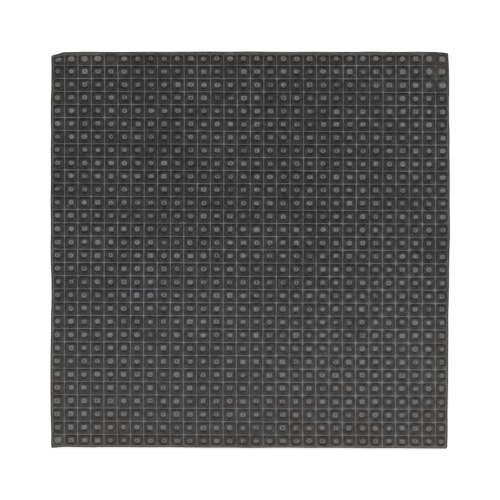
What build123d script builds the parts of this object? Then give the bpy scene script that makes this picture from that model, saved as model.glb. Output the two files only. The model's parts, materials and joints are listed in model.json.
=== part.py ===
from build123d import *
import os

# Seedling heat mat: a bonded rubber mat with a waffle top and a ribbon heater inside.
#
# Millimetres, origin at the centre of the underside, +Z up. The socket for the lead is in the
# front edge (-Y), towards the right-hand corner. Each piece is a solid of its own, in its place.

os.makedirs("parts", exist_ok=True)

# ---- driving dimensions: the mat and its layers
CELLS = 30  # pockets along each side, an even number
PITCH = 17.0  # nub to nub
EDGE_TRIM = 1.0  # the outermost pockets are this much narrower
HALF = CELLS * PITCH / 2 - EDGE_TRIM
MAT = 2 * HALF

BASE_T = 2.0  # bottom cover
CORE_T = 8.0  # edge frame, and the heater pack inside it
WEB_T = 2.0  # top cover below its relief
RELIEF = 4.0  # height of the ribs and nubs
CORNER_R = 2.0  # upright corners of the mat

RIB_FOOT = 2.0  # half width of a rib where it meets the pocket
NUB_FOOT = PITCH - 2 * RIB_FOOT  # a nub's foot fills its pocket
NUB_TAPER = 39.0  # degrees from upright, which leaves a top 6.5 mm across
BORDER_LAND = 3.0  # flat top of the outer rib

FRAME_W = 14.0
BEAD_W = 3.0  # adhesive beads run along the middle of the frame
BEAD_T = 0.6

PLY_T = 0.5  # woven ply under the top cover
FOIL_T = 0.5  # heat spreader
FILM_T = 0.3  # each insulating film
RIBBON_T = 0.4
PAD_T = CORE_T - PLY_T - FOIL_T - 2 * FILM_T - RIBBON_T
CORE_GAP = 0.5  # between the heater pack and the frame
CORE_SIDE = MAT - 2 * FRAME_W - 2 * CORE_GAP

GROOVES = 14  # grip grooves in the underside, an even number
GROOVE_W = 3.0
GROOVE_T = 0.8
GROOVE_PITCH = 2 * PITCH
GROOVE_L = MAT - 4 * PITCH

# ---- driving dimensions: the heater
RUNS = 14  # straight runs of the ribbon, an even number
RUN_PITCH = 2 * PITCH
RUN_REACH = 210.0  # where a run turns, from the middle of the mat
RIBBON_W = 5.0
RIBBON_TAIL = 5.0  # from the leads' row to the ribbon's two ends

# ---- driving dimensions: the socket and the leads
SOCKET_X = 10 * PITCH
SHELL_W = 18.0
LUG_W = 24.0  # lugs that key the shell into the frame
LUG_T = 3.0
LUG_Y = 5.0  # from the mat's edge to the lug
COLLAR_R = 3.0  # where the lead's moulded collar seats
COLLAR_L = 6.0
MOUTH_CHAMFER = 0.3
SEAL_T = 1.0
SEAL_OUTER_R = 3.5
SEAL_INNER_R = 2.75
WELL_R = 2.6
BLOCK_L = 4.0
PIN_R = 0.5
PIN_OFFSET = 1.6
PIN_FRONT = 3.0  # a pin's length in front of the contact block
PIN_TAIL = 6.0  # and behind it

LEAD_W = 2.6  # flat insulated lead
LEAD_T = 1.6
LEAD_BEND_R = 4.0
LEAD_ROW = -228.0  # the line that the leads follow behind the front edge
CRIMP_L = 9.0
CRIMP_WALL = 0.6
BUTT_GAP = 0.3  # from a crimp's middle to each end inside it
TAB_T = 0.6
TAB_L = 8.0  # from a bus tab's side to the crimp on it

CUTOUT_Y = -190.0  # between the two middle runs
CUTOUT_R = 7.0
CUTOUT_CAP_R = 7.3
CUTOUT_CAP_T = 1.6
CUTOUT_CAP_CHAMFER = 0.4
CUTOUT_CRIMP_X = 15.0
FUSE_R = 1.4
FUSE_L = 9.0
FUSE_WIRE_R = 0.4
FUSE_CRIMP_X = 12.0  # from the fuse's middle to the crimp on each of its wires

CHANNEL_W = 3.8  # channels and pockets in the pad
POCKET_W = 5.2
POCKET_L = 10.0
TAB_CLEARANCE = 0.5
CUTOUT_POCKET_R = 7.8
POTTING_L = 15.5
POTTING_W = 14.0

# ---- heights and places worked out from them
Z_CORE = BASE_T
Z_WEB = Z_CORE + CORE_T
Z_FLOOR = Z_WEB + WEB_T
Z_TOP = Z_FLOOR + RELIEF
Z_CARRIER = Z_CORE + PAD_T
Z_RIBBON = Z_CARRIER + FILM_T
Z_COVER = Z_RIBBON + RIBBON_T
Z_FOIL = Z_COVER + FILM_T
Z_PLY = Z_FOIL + FOIL_T
Z_LEAD = Z_CORE + CORE_T / 2  # the pins, the leads and all that joins them
Z_POCKET = Z_LEAD - LEAD_T / 2 - CRIMP_WALL

FRAME_INNER = HALF - FRAME_W
BEAD_SIDE = MAT - FRAME_W
RIBBON_END_X = (RUNS - 1) / 2 * RUN_PITCH
RIBBON_END_Y = LEAD_ROW + RIBBON_TAIL
TAB_NEAR_X = RIBBON_END_X - RIBBON_W / 2  # the side of a bus tab that faces the middle
TAB_CRIMP_X = TAB_NEAR_X - TAB_L
FUSE_X = TAB_CRIMP_X - FUSE_CRIMP_X
PIN_TAIL_Y = -FRAME_INNER + PIN_TAIL

NEUTRAL_ROUTE = [
    (SOCKET_X - PIN_OFFSET, PIN_TAIL_Y),
    (SOCKET_X - PIN_OFFSET, LEAD_ROW),
    (RUN_PITCH, LEAD_ROW),
    (RUN_PITCH, CUTOUT_Y),
    (CUTOUT_CRIMP_X + BUTT_GAP, CUTOUT_Y),
]
LINK_ROUTE = [
    (-CUTOUT_CRIMP_X - BUTT_GAP, CUTOUT_Y),
    (-RUN_PITCH, CUTOUT_Y),
    (-RUN_PITCH, LEAD_ROW),
    (-TAB_CRIMP_X + BUTT_GAP, LEAD_ROW),
]
LIVE_ROUTE = [
    (SOCKET_X + PIN_OFFSET, PIN_TAIL_Y),
    (SOCKET_X + PIN_OFFSET, LEAD_ROW),
    (FUSE_X - FUSE_CRIMP_X - BUTT_GAP, LEAD_ROW),
]
ROUTES = {"neutral_lead": NEUTRAL_ROUTE, "link_lead": LINK_ROUTE, "live_lead": LIVE_ROUTE}
CRIMP_PLACES = [
    (-TAB_CRIMP_X, LEAD_ROW),
    (-CUTOUT_CRIMP_X, CUTOUT_Y),
    (CUTOUT_CRIMP_X, CUTOUT_Y),
    (FUSE_X - FUSE_CRIMP_X, LEAD_ROW),
    (FUSE_X + FUSE_CRIMP_X, LEAD_ROW),
]

# ==== top cover: the waffle relief, made as one quarter and mirrored both ways
with BuildPart() as top_cover:
    with BuildSketch(Plane.XY.offset(Z_WEB)):
        Rectangle(HALF, HALF, align=(Align.MIN, Align.MIN))
    extrude(amount=WEB_T)

    # ribs run both ways, each rising from the floor to a crest on a line between two pockets
    for plane, reach in ((Plane.XZ, -HALF), (Plane.YZ, HALF)):
        with BuildSketch(plane):
            for line in range(1, CELLS // 2):
                crest = line * PITCH
                with BuildLine():
                    Polyline(
                        (crest - RIB_FOOT, Z_FLOOR),
                        (crest, Z_TOP),
                        (crest + RIB_FOOT, Z_FLOOR),
                        close=True,
                    )
                make_face()
            with BuildLine():  # half of the middle rib
                Polyline((0, Z_FLOOR), (0, Z_TOP), (RIB_FOOT, Z_FLOOR), close=True)
            make_face()
            with BuildLine():  # outer rib, with a flat top
                Polyline(
                    (HALF - BORDER_LAND - RIB_FOOT, Z_FLOOR),
                    (HALF - BORDER_LAND, Z_TOP),
                    (HALF, Z_TOP),
                    (HALF, Z_FLOOR),
                    close=True,
                )
            make_face()
        extrude(amount=reach)

    # a tapered nub in the middle of each pocket
    with BuildSketch(Plane.XY.offset(Z_FLOOR)):
        with Locations((CELLS * PITCH / 4, CELLS * PITCH / 4)):
            with GridLocations(PITCH, PITCH, CELLS // 2, CELLS // 2):
                Rectangle(NUB_FOOT, NUB_FOOT)
    extrude(amount=RELIEF, taper=NUB_TAPER)

    corner = top_cover.edges().filter_by(Axis.Z).sort_by(Axis((0, 0, 0), (1, 1, 0)))[-1]
    fillet(corner, CORNER_R)
    mirror(about=Plane.YZ)
    mirror(about=Plane.XZ)
top_cover.part.label = "top_cover"
export_step(top_cover.part, "parts/top_cover.step")

# ==== bottom cover: a sheet with blind grip grooves
with BuildPart() as bottom_cover:
    with BuildSketch():
        RectangleRounded(MAT, MAT, CORNER_R)
    extrude(amount=BASE_T)
    with BuildSketch():
        with GridLocations(GROOVE_L, GROOVE_PITCH, 1, GROOVES):
            Rectangle(GROOVE_L, GROOVE_W)
    extrude(amount=GROOVE_T, mode=Mode.SUBTRACT)
bottom_cover.part.label = "bottom_cover"
export_step(bottom_cover.part, "parts/bottom_cover.step")

# ==== adhesive beads: open rings that stop at the socket's shell
beads = []
for name, height in (("lower_bond_bead", Z_CORE), ("upper_bond_bead", Z_WEB - BEAD_T)):
    with BuildPart() as bead:
        with BuildSketch(Plane.XY.offset(height)):
            Rectangle(BEAD_SIDE + BEAD_W, BEAD_SIDE + BEAD_W)
            Rectangle(BEAD_SIDE - BEAD_W, BEAD_SIDE - BEAD_W, mode=Mode.SUBTRACT)
            with Locations((SOCKET_X, -BEAD_SIDE / 2)):
                Rectangle(LUG_W + BEAD_W, 2 * BEAD_W, mode=Mode.SUBTRACT)
        extrude(amount=BEAD_T)
    bead.part.label = name
    export_step(bead.part, f"parts/{name}.step")
    beads.append(bead.part)

# ==== outline of the socket's shell from above, which the frame is cut to
with BuildSketch(Plane.XY.offset(Z_CORE)) as shell_plan:
    with Locations((SOCKET_X, -HALF)):
        Rectangle(SHELL_W, FRAME_W, align=(Align.CENTER, Align.MIN))
    with Locations((SOCKET_X, -HALF + LUG_Y)):
        Rectangle(LUG_W, LUG_T, align=(Align.CENTER, Align.MIN))

# ==== edge frame: closes the four edges and is keyed to the shell
with BuildPart() as edge_frame:
    with BuildSketch(Plane.XY.offset(Z_CORE)):
        RectangleRounded(MAT, MAT, CORNER_R)
        Rectangle(2 * FRAME_INNER, 2 * FRAME_INNER, mode=Mode.SUBTRACT)
    extrude(amount=CORE_T)
    extrude(shell_plan.sketch, amount=CORE_T, mode=Mode.SUBTRACT)
    add(beads, mode=Mode.SUBTRACT)
edge_frame.part.label = "edge_frame"
export_step(edge_frame.part, "parts/edge_frame.step")

# ==== socket shell: collar bore, seal groove and pin well on one axis
mouth = Plane(origin=(SOCKET_X, -HALF, Z_LEAD), x_dir=(1, 0, 0), z_dir=(0, -1, 0))
with BuildPart() as socket_shell:
    extrude(shell_plan.sketch, amount=CORE_T)
    with Locations(mouth):
        CounterBoreHole(radius=WELL_R, counter_bore_radius=COLLAR_R, counter_bore_depth=COLLAR_L)
    with BuildSketch(mouth.offset(-COLLAR_L)):
        Circle(SEAL_OUTER_R)
    extrude(amount=-SEAL_T, mode=Mode.SUBTRACT)
    rim = socket_shell.edges().filter_by(GeomType.CIRCLE).sort_by(Axis.Y)[0]
    chamfer(rim, MOUTH_CHAMFER)
socket_shell.part.label = "socket_shell"
export_step(socket_shell.part, "parts/socket_shell.step")

# ==== collar seal: a flat ring in the groove
with BuildPart() as collar_seal:
    with BuildSketch(mouth.offset(-COLLAR_L)):
        Circle(SEAL_OUTER_R)
        Circle(SEAL_INNER_R, mode=Mode.SUBTRACT)
    extrude(amount=-SEAL_T)
collar_seal.part.label = "collar_seal"
export_step(collar_seal.part, "parts/collar_seal.step")

# ==== contact block and its two pins
block_front = mouth.offset(BLOCK_L - FRAME_W)
with BuildPart() as contact_block:
    with BuildSketch(block_front):
        Circle(WELL_R)
        with Locations((-PIN_OFFSET, 0), (PIN_OFFSET, 0)):
            Circle(PIN_R, mode=Mode.SUBTRACT)
    extrude(amount=-BLOCK_L)
contact_block.part.label = "contact_block"
export_step(contact_block.part, "parts/contact_block.step")

with BuildPart() as contact_pins:
    with BuildSketch(block_front.offset(PIN_FRONT)):
        with Locations((-PIN_OFFSET, 0), (PIN_OFFSET, 0)):
            Circle(PIN_R)
    extrude(amount=-(PIN_FRONT + BLOCK_L + PIN_TAIL))
contact_pins.part.label = "contact_pins"
export_step(contact_pins.part, "parts/contact_pins.step")

# ==== leads: flat strips along filleted routes
leads = {}
for name, route in ROUTES.items():
    with BuildPart() as lead:
        with BuildSketch(Plane.XY.offset(Z_LEAD - LEAD_T / 2)):
            with BuildLine():
                FilletPolyline(*route, radius=LEAD_BEND_R)
            trace(line_width=LEAD_W)
        extrude(amount=LEAD_T)
    lead.part.label = name
    export_step(lead.part, f"parts/{name}.step")
    leads[name] = lead.part

# ==== crimp sleeves: short tubes round each joint
with BuildPart() as crimp_sleeves:
    with BuildSketch(Plane.XY.offset(Z_POCKET)):
        with Locations(*CRIMP_PLACES):
            Rectangle(CRIMP_L, LEAD_W + 2 * CRIMP_WALL)
    extrude(amount=LEAD_T + 2 * CRIMP_WALL)
    with BuildSketch(Plane.XY.offset(Z_LEAD - LEAD_T / 2)):
        with Locations(*CRIMP_PLACES):
            Rectangle(CRIMP_L, LEAD_W)
    extrude(amount=LEAD_T, mode=Mode.SUBTRACT)
crimp_sleeves.part.label = "crimp_sleeves"
export_step(crimp_sleeves.part, "parts/crimp_sleeves.step")

# ==== thermal cut-out: terminals, base and crimped metal cap
with BuildPart() as cutout_terminals:
    with BuildSketch(Plane.XY.offset(Z_LEAD - TAB_T / 2)):
        for side in (-1, 1):
            inner, outer = side * CUTOUT_R / 2, side * (CUTOUT_CRIMP_X - BUTT_GAP)
            with Locations(((inner + outer) / 2, CUTOUT_Y)):
                Rectangle(abs(outer - inner), LEAD_W)
    extrude(amount=TAB_T)
cutout_terminals.part.label = "cutout_terminals"
export_step(cutout_terminals.part, "parts/cutout_terminals.step")

with BuildPart() as cutout_base:
    with BuildSketch(Plane.XY.offset(Z_POCKET)):
        with Locations((0, CUTOUT_Y)):
            Circle(CUTOUT_R)
    extrude(amount=Z_CARRIER - CUTOUT_CAP_T - Z_POCKET)
    add(cutout_terminals.part, mode=Mode.SUBTRACT)
cutout_base.part.label = "cutout_base"
export_step(cutout_base.part, "parts/cutout_base.step")

with BuildPart() as cutout_cap:
    with BuildSketch(Plane.XY.offset(Z_CARRIER - CUTOUT_CAP_T)):
        with Locations((0, CUTOUT_Y)):
            Circle(CUTOUT_CAP_R)
    extrude(amount=CUTOUT_CAP_T)
    chamfer(cutout_cap.edges().group_by(Axis.Z)[-1], CUTOUT_CAP_CHAMFER)
cutout_cap.part.label = "cutout_cap"
export_step(cutout_cap.part, "parts/cutout_cap.step")

# ==== thermal fuse: a slim can on its own wires
fuse_axis = Plane(origin=(FUSE_X, LEAD_ROW, Z_LEAD), z_dir=(1, 0, 0))
with BuildPart() as thermal_fuse:
    with BuildSketch(fuse_axis):
        Circle(FUSE_WIRE_R)
    extrude(amount=FUSE_CRIMP_X - BUTT_GAP, both=True)
    with BuildSketch(fuse_axis):
        Circle(FUSE_R)
    extrude(amount=FUSE_L / 2, both=True)
thermal_fuse.part.label = "thermal_fuse"
export_step(thermal_fuse.part, "parts/thermal_fuse.step")

# ==== heating element: one square serpentine, its two ends towards the leads
turns = []
for run in range(RUNS):
    run_x = run * RUN_PITCH - RIBBON_END_X
    ends = [-RUN_REACH, RUN_REACH] if run % 2 == 0 else [RUN_REACH, -RUN_REACH]
    turns += [(run_x, end) for end in ends]
turns[0] = (-RIBBON_END_X, RIBBON_END_Y)
turns[-1] = (RIBBON_END_X, RIBBON_END_Y)
with BuildPart() as heating_element:
    with BuildSketch(Plane.XY.offset(Z_RIBBON)):
        with BuildLine():
            Polyline(*turns)
        trace(line_width=RIBBON_W)
    extrude(amount=RIBBON_T)
heating_element.part.label = "heating_element"
export_step(heating_element.part, "parts/heating_element.step")

# ==== bus tabs: bent strips from the ribbon's ends down to the leads
with BuildPart() as bus_tabs:
    for side in (-1, 1):
        with BuildSketch(Plane.YZ.offset(side * RIBBON_END_X)):
            with BuildLine():
                Polyline(
                    (LEAD_ROW - LEAD_W / 2, Z_LEAD - TAB_T / 2),
                    (RIBBON_END_Y + TAB_T, Z_LEAD - TAB_T / 2),
                    (RIBBON_END_Y + TAB_T, Z_RIBBON),
                    (RIBBON_END_Y, Z_RIBBON),
                    (RIBBON_END_Y, Z_LEAD + TAB_T / 2),
                    (LEAD_ROW - LEAD_W / 2, Z_LEAD + TAB_T / 2),
                    close=True,
                )
            make_face()
        extrude(amount=RIBBON_W / 2, both=True)
    with BuildSketch(Plane.XY.offset(Z_LEAD - TAB_T / 2)):
        for side in (-1, 1):
            with Locations((side * (TAB_CRIMP_X + BUTT_GAP + TAB_NEAR_X) / 2, LEAD_ROW)):
                Rectangle(TAB_NEAR_X - TAB_CRIMP_X - BUTT_GAP, LEAD_W)
    extrude(amount=TAB_T)
bus_tabs.part.label = "bus_tabs"
export_step(bus_tabs.part, "parts/bus_tabs.step")

# ==== flat layers of the heater pack
with BuildPart() as carrier_film:
    with BuildSketch(Plane.XY.offset(Z_CARRIER)):
        Rectangle(CORE_SIDE, CORE_SIDE)
        with Locations(
            (-RIBBON_END_X, RIBBON_END_Y + TAB_T / 2),
            (RIBBON_END_X, RIBBON_END_Y + TAB_T / 2),
        ):
            Rectangle(RIBBON_W, TAB_T, mode=Mode.SUBTRACT)
    extrude(amount=FILM_T)
carrier_film.part.label = "carrier_film"
export_step(carrier_film.part, "parts/carrier_film.step")

SHEETS = {
    "cover_film": (Z_COVER, FILM_T),
    "heat_spreader": (Z_FOIL, FOIL_T),
    "reinforcing_ply": (Z_PLY, PLY_T),
}
for name, (height, thickness) in SHEETS.items():
    with BuildPart() as sheet:
        with BuildSketch(Plane.XY.offset(height)):
            Rectangle(CORE_SIDE, CORE_SIDE)
        extrude(amount=thickness)
    sheet.part.label = name
    export_step(sheet.part, f"parts/{name}.step")

# ==== potting: a block cast round the pins' tails and the ends of two leads
with BuildPart() as potting:
    with BuildSketch(Plane.XY.offset(Z_CORE)):
        with Locations((SOCKET_X, -CORE_SIDE / 2)):
            Rectangle(POTTING_W, POTTING_L, align=(Align.CENTER, Align.MIN))
    extrude(amount=PAD_T)
    add(contact_pins.part, mode=Mode.SUBTRACT)
    add([leads["live_lead"], leads["neutral_lead"]], mode=Mode.SUBTRACT)
potting.part.label = "potting"
export_step(potting.part, "parts/potting.step")

# ==== insulation pad: foam with channels for the leads and pockets for what is on them
with BuildPart() as insulation_pad:
    with BuildSketch(Plane.XY.offset(Z_CORE)):
        Rectangle(CORE_SIDE, CORE_SIDE)
        with Locations((SOCKET_X, -CORE_SIDE / 2)):
            Rectangle(POTTING_W, POTTING_L, align=(Align.CENTER, Align.MIN), mode=Mode.SUBTRACT)
    extrude(amount=PAD_T)
    with BuildSketch(Plane.XY.offset(Z_POCKET)):
        for route in ROUTES.values():
            with BuildLine() as channel:
                FilletPolyline(*route, radius=LEAD_BEND_R)
            trace(channel.line, line_width=CHANNEL_W)
        with Locations(*CRIMP_PLACES):
            Rectangle(POCKET_L, POCKET_W)
        with Locations((0, CUTOUT_Y)):
            Circle(CUTOUT_POCKET_R)
            Rectangle(2 * CUTOUT_CRIMP_X, CHANNEL_W)
        with Locations((FUSE_X, LEAD_ROW)):
            Rectangle(2 * FUSE_CRIMP_X, CHANNEL_W)
        for side in (-1, 1):
            with Locations((side * (TAB_CRIMP_X + TAB_NEAR_X) / 2, LEAD_ROW)):
                Rectangle(TAB_NEAR_X - TAB_CRIMP_X, CHANNEL_W)
            with Locations((side * RIBBON_END_X, (LEAD_ROW + RIBBON_END_Y) / 2)):
                Rectangle(RIBBON_W + 2 * TAB_CLEARANCE, RIBBON_TAIL + POCKET_W)
    extrude(amount=Z_CARRIER - Z_POCKET, mode=Mode.SUBTRACT)
insulation_pad.part.label = "insulation_pad"
export_step(insulation_pad.part, "parts/insulation_pad.step")
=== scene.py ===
import json
import logging
import math
from dataclasses import dataclass, field
from enum import Enum, IntEnum
from typing import Sequence

import bpy
import numpy as np
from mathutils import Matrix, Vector


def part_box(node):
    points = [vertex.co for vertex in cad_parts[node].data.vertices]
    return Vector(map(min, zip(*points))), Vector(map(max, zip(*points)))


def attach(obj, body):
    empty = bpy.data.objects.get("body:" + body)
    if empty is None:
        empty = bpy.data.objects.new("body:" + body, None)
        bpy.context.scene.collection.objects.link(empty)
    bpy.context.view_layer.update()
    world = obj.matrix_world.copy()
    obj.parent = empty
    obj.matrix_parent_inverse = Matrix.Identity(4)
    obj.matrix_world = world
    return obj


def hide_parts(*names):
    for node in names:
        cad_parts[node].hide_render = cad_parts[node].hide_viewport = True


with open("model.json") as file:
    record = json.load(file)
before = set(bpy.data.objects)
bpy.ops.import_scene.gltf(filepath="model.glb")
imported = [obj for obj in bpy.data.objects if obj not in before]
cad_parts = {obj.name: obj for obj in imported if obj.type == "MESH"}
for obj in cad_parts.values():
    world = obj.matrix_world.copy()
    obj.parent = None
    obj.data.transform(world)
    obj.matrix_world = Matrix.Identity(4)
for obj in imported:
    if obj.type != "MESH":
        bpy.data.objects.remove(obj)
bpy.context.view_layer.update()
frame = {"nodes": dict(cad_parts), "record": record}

MM = 0.001
BODY = "root"
SEED = 4207

log = logging.getLogger("heat_mat")

Colour = tuple[float, float, float]
Range = tuple[float, float]
Array = np.ndarray
Node = bpy.types.Node
Socket = bpy.types.NodeSocket


class Pattern(IntEnum):
    """The seed of each noise pattern."""

    SIDE_RIPPLE = 5
    END_RIPPLE = 6
    FILLING = 21
    NEAR_WAVE = 41
    WIDE_WAVE = 42
    NEAR_DUST = 43
    WORN_RIBS = 44
    WIDE_DUST = 45
    STRAY_X = 46
    STRAY_Y = 47
    RIB_ALONG_X = 48
    RIB_ALONG_Y = 49
    SAWN_EDGE = 51
    SOIL = 61


# ---------------------------------------------------------------- mesh tools
def quads_of(rows: int, columns: int, closed: bool = False) -> Array:
    """Faces of a grid of points that is numbered row by row.

    A face joins point (r, c) to (r, c + 1), (r + 1, c + 1) and (r + 1, c), so it turns
    anticlockwise when columns run to the right and rows run up.

    Args:
        rows: number of rows of points.
        columns: number of points in a row.
        closed: joins the last column to the first one.

    Returns:
        Four point numbers a face.
    """
    across = columns if closed else columns - 1
    r, c = np.meshgrid(np.arange(rows - 1), np.arange(across), indexing="ij")
    after = (c + 1) % columns
    corners = (r * columns + c, r * columns + after, (r + 1) * columns + after, (r + 1) * columns + c)
    return np.stack([corner.ravel() for corner in corners], axis=1)


def fan_of(ring: Array, hub: int) -> Array:
    """Triangles from a closed ring of points to a hub point, in the ring's order.

    Args:
        ring: point numbers of the ring.
        hub: point number in the middle.

    Returns:
        Three point numbers a face.
    """
    return np.stack([ring, np.roll(ring, -1), np.full(len(ring), hub)], axis=1)


def mesh_piece(
    name: str, points: Array, faces: Sequence[Array], masks: dict[str, Array] | None = None
) -> bpy.types.Object:
    """Makes a smooth-shaded mesh object at the origin from whole arrays.

    Args:
        name: the piece's name.
        points: positions in metres, one row a point.
        faces: arrays of triangles or quads, as point numbers.
        masks: values between 0 and 1, one a point, kept as named attributes.

    Returns:
        The new object, linked to the scene.
    """
    mesh = bpy.data.meshes.new(name)
    loops = np.concatenate([block.ravel() for block in faces]).astype(np.int32)
    sides = np.concatenate([np.full(len(block), block.shape[1]) for block in faces])
    starts = np.concatenate([[0], np.cumsum(sides)[:-1]]).astype(np.int32)
    mesh.vertices.add(len(points))
    mesh.vertices.foreach_set("co", np.ascontiguousarray(points, dtype=np.float32).ravel())
    mesh.loops.add(len(loops))
    mesh.loops.foreach_set("vertex_index", loops)
    mesh.polygons.add(len(sides))
    mesh.polygons.foreach_set("loop_start", starts)
    mesh.polygons.foreach_set("use_smooth", np.full(len(sides), True))
    mesh.update(calc_edges=True)
    mesh.validate()
    for mask_name, values in (masks or {}).items():
        layer = mesh.attributes.new(mask_name, "FLOAT", "POINT")
        layer.data.foreach_set("value", np.clip(values, 0.0, 1.0).astype(np.float32))
    piece = bpy.data.objects.new(name, mesh)
    bpy.context.scene.collection.objects.link(piece)
    return piece


def smooth_step(low: float, high: float, value: Array) -> Array:
    """Rises from 0 at low to 1 at high along the cubic 3t^2 - 2t^3.

    Args:
        low: value where the step starts.
        high: value where it ends.
        value: where to read it.

    Returns:
        The step at each value.
    """
    t = np.clip((value - low) / (high - low), 0.0, 1.0)
    return t * t * (3.0 - 2.0 * t)


def hump(value: Array, middle: float, width: float) -> Array:
    """A bell curve: e to the power of minus ((value - middle) / width) squared.

    Args:
        value: where to read it.
        middle: value where it is 1.
        width: how far from the middle it falls to 1/e.

    Returns:
        The bell at each value.
    """
    return np.exp(-(((value - middle) / width) ** 2))


def soft_noise(x: Array, y: Array, span: float, pattern: Pattern) -> Array:
    """Smooth noise between -1 and 1: random values on a square lattice, blended by smooth steps.

    Args:
        x: places along X, in the unit of span.
        y: places along Y.
        span: lattice spacing.
        pattern: picks the lattice's values.

    Returns:
        The noise at each place.
    """
    side = 256
    lattice = np.random.default_rng(int(pattern)).uniform(-1.0, 1.0, (side, side))
    u, v = x / span + side / 2, y / span + side / 2
    column, row = np.floor(u).astype(int), np.floor(v).astype(int)
    s, t = smooth_step(0.0, 1.0, u - column), smooth_step(0.0, 1.0, v - row)
    left, right = column % side, (column + 1) % side
    near = lattice[row % side, left] * (1 - s) + lattice[row % side, right] * s
    far = lattice[(row + 1) % side, left] * (1 - s) + lattice[(row + 1) % side, right] * s
    return near * (1 - t) + far * t


# ---------------------------------------------------------------- sizes, in millimetres
@dataclass(frozen=True)
class MatSizes:
    """The mat's sizes, read from the CAD nodes' boxes, and its number of pockets a side."""

    cells: int = 30
    relief: float = 4.0
    half: float = field(default_factory=lambda: round(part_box("top_cover")[1].x / MM, 3))
    top: float = field(default_factory=lambda: round(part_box("top_cover")[1].z / MM, 3))
    web: float = field(default_factory=lambda: round(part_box("top_cover")[0].z / MM, 3))
    core: float = field(default_factory=lambda: round(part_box("edge_frame")[0].z / MM, 3))
    shell: tuple[Vector, Vector] = field(default_factory=lambda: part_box("socket_shell"))

    @property
    def pitch(self) -> float:
        """Distance between nubs: the pockets share the mat's side evenly."""
        return 2 * self.half / self.cells

    @property
    def floor(self) -> float:
        """Height of the pockets' floor."""
        return self.top - self.relief

    @property
    def shell_x(self) -> float:
        """Middle of the socket's shell along the front edge."""
        return (self.shell[0].x + self.shell[1].x) / 2 / MM


@dataclass(frozen=True)
class Wear:
    """How use has moved the mat's outline, in millimetres.

    Each fault is a shift that fades away from its place, so the layers that share the outline
    keep meeting. The shell's stretch of the front edge stays straight. A place or a span is a
    part of the mat's half side, from -1 at the left or front to 1 at the right or back.
    """

    sizes: MatSizes
    corner_radius: float = 2.0
    fade: float = 18.0
    droop_in: float = 4.2
    droop_down: float = 3.0
    rub_in: float = 1.4
    rub_down: float = 0.8
    tail_off: float = 2.0
    tail_reach: float = 7.0
    tail_out: float = 1.3
    side_bow: float = 1.4
    left_share: float = 0.7
    slack_in: float = 1.65
    slack_span: Range = (-0.10, 0.35)
    dent_in: float = 1.0
    dent_place: float = -0.2
    dent_width: float = 0.17
    bulge_out: float = 0.7
    bulge_place: float = -0.68
    bulge_width: float = 0.18
    widen: float = 0.45
    shear: float = 1.1
    tilt: float = 0.95
    tilt_fade: Range = (0.7, 1.0)
    back_bow: float = 0.4
    back_in: float = 0.45
    back_sag: float = 1.1
    sag_rise: Range = (0.25, 0.9)
    sag_fade: Range = (0.93, 1.0)
    front_in: float = 0.6
    ripple: float = 0.3
    side_ripple_span: float = 21.0
    end_ripple_span: float = 26.0
    shell_reach: float = 22.0

    def rounded(self, x: Array, y: Array) -> tuple[Array, Array]:
        """Turns the square's corners into arcs.

        Past the arc's centre, the larger of a point's two distances from it becomes its radius.

        Args:
            x: places along X.
            y: places along Y.

        Returns:
            The moved x and y.
        """
        start = self.sizes.half - self.corner_radius
        past_x, past_y = np.abs(x) - start, np.abs(y) - start
        both = (past_x > 0) & (past_y > 0)
        length = np.where(both, np.hypot(past_x, past_y), 1.0)
        stretch = np.where(both, np.maximum(past_x, past_y), 1.0) / length
        new_x = np.where(both, np.sign(x) * (start + past_x * stretch), x)
        new_y = np.where(both, np.sign(y) * (start + past_y * stretch), y)
        return new_x, new_y

    def moved(self, points: Array) -> Array:
        """Moves points by every fault of the outline.

        The back left corner curls in and down, the back right one is rubbed short, the front
        left one has a small tail, the right side bows out at the back and draws in at the front,
        the left one has a dent and a bulge, all sides ripple slightly, and the whole sheet is
        pulled a little out of square. All of it is held still beside the shell, where a bell to
        the fourth power takes the shift away.

        Args:
            points: positions in millimetres, one row a point.

        Returns:
            The moved positions.
        """
        half = self.sizes.half
        x, y = self.rounded(points[:, 0], points[:, 1])
        left, right, front, back = (smooth_step(half - self.fade, half, way) for way in (-x, x, -y, y))
        curl, rub = left * back, right * back
        tail = np.exp(-((x + half - self.tail_off) ** 2 + (y + half) ** 2) / self.tail_reach**2)
        u, v = x / half, y / half
        bow, slack = 1.0 - v**2, smooth_step(*self.slack_span, -v)
        side_ripple = soft_noise(y, 0.0 * y, self.side_ripple_span, Pattern.SIDE_RIPPLE)
        end_ripple = soft_noise(x, 0.0 * x, self.end_ripple_span, Pattern.END_RIPPLE)

        dx = right * (self.side_bow * bow - self.slack_in * slack)
        dx = dx - self.left_share * left * self.side_bow * bow
        dx += (left + right) * self.ripple * side_ripple + self.widen * u
        dx += left * self.dent_in * hump(v, self.dent_place, self.dent_width)
        dx -= left * self.bulge_out * hump(v, self.bulge_place, self.bulge_width)
        dx += self.shear * v * (1.0 - np.abs(u) ** 6) * (1.0 - np.abs(v) ** 6)

        dy = (back - front) * self.ripple * end_ripple
        dy += back * (self.back_bow * (1.0 - u**2) - self.back_in)
        dy -= self.tilt * u * (1.0 - smooth_step(*self.tilt_fade, v))
        dy -= self.back_sag * smooth_step(*self.sag_rise, v) * (1.0 - smooth_step(*self.sag_fade, v))
        dy += self.front_in * front
        dy -= self.droop_in * curl + self.rub_in * rub + self.tail_out * tail

        lift = points[:, 2] / self.sizes.top
        dz = -lift * (self.droop_down * curl + self.rub_down * rub)
        free = 1.0 - np.exp(-(((x - self.sizes.shell_x) / self.shell_reach) ** 4)) * front
        return np.stack([x + dx * free, y + dy * free, points[:, 2] + dz * free], axis=1)


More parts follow.
